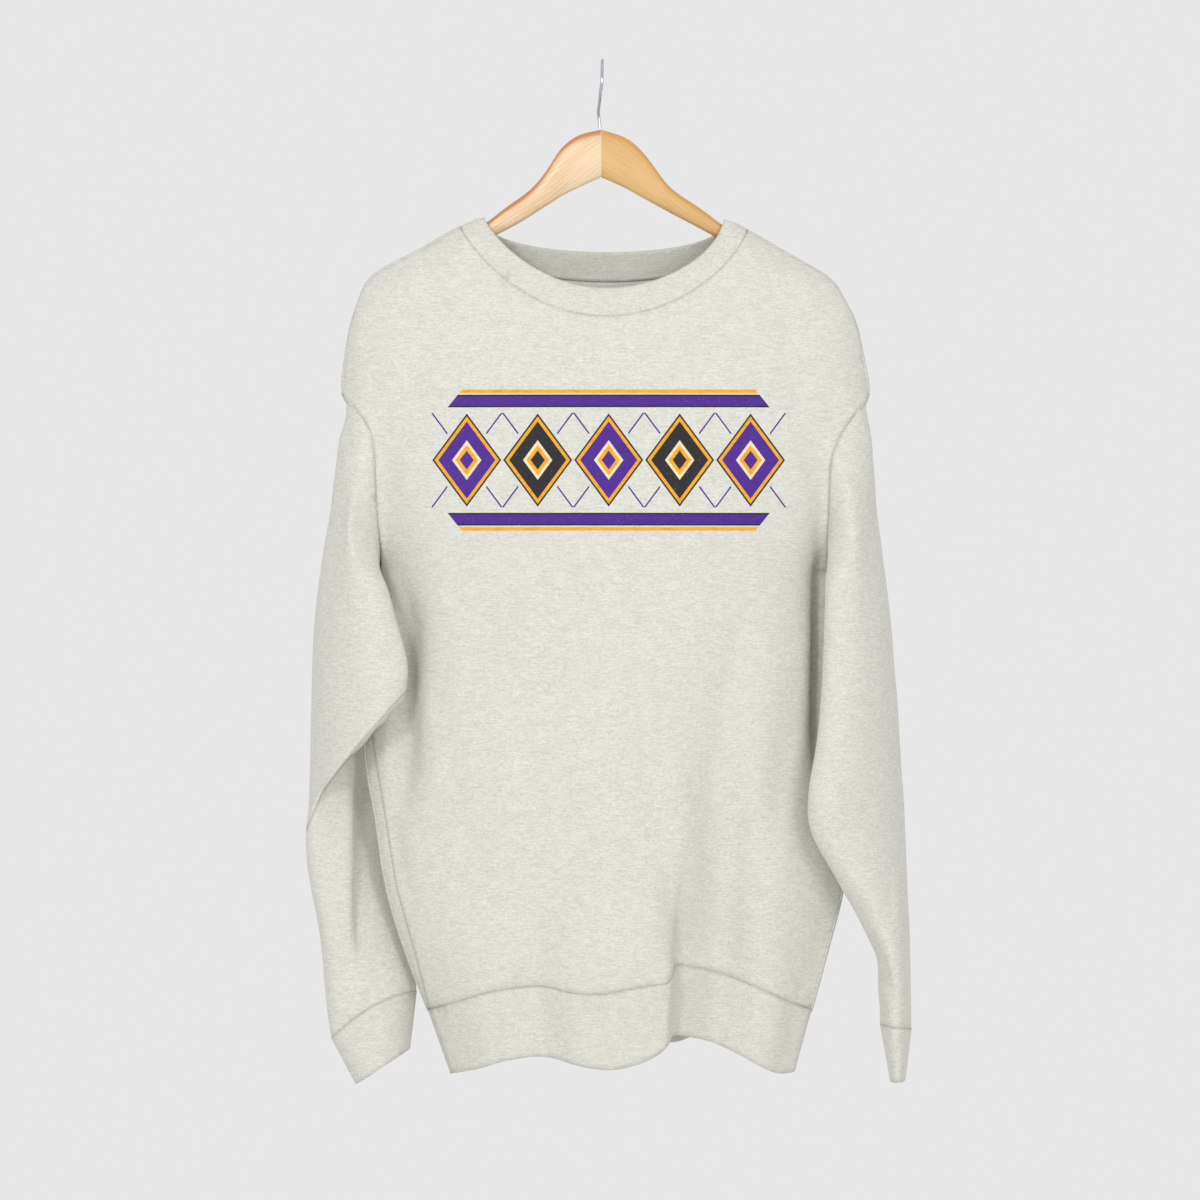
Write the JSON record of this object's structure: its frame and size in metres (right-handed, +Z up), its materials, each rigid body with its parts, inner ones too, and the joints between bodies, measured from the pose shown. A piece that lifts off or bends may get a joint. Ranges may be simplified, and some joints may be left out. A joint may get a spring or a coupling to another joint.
{
  "type": "crewneck sweatshirt on a wooden hanger",
  "caption": "Pale heather crewneck sweatshirt with long sleeves, ribbed hem and cuffs, hanging on a mitred wooden hanger with a wire hook.",
  "frame": {"origin": "underside of the hook's top, where it rests on a rail", "axes": "+Z up, +Y away from the viewer of the front, +X to the wearer's left"},
  "size_m": [0.5146, 0.1343, 0.8718],
  "materials": {
    "fleece": "soft heather fleece, matt",
    "rib": "soft heather rib, matt",
    "wood": "honey varnish, satin",
    "wire": "polished"
  },
  "bodies": {
    "root": {"front_panel": "fleece", "back_panel": "fleece", "sleeve_wearers_right": "fleece", "sleeve_wearers_left": "fleece", "cuff_wearers_right": "rib", "cuff_wearers_left": "rib", "hem_band": "rib", "collar": "rib", "hanger_arm_left": "wood", "hanger_arm_right": "wood", "hanger_hook": "wire"}
  },
  "joints": []
}
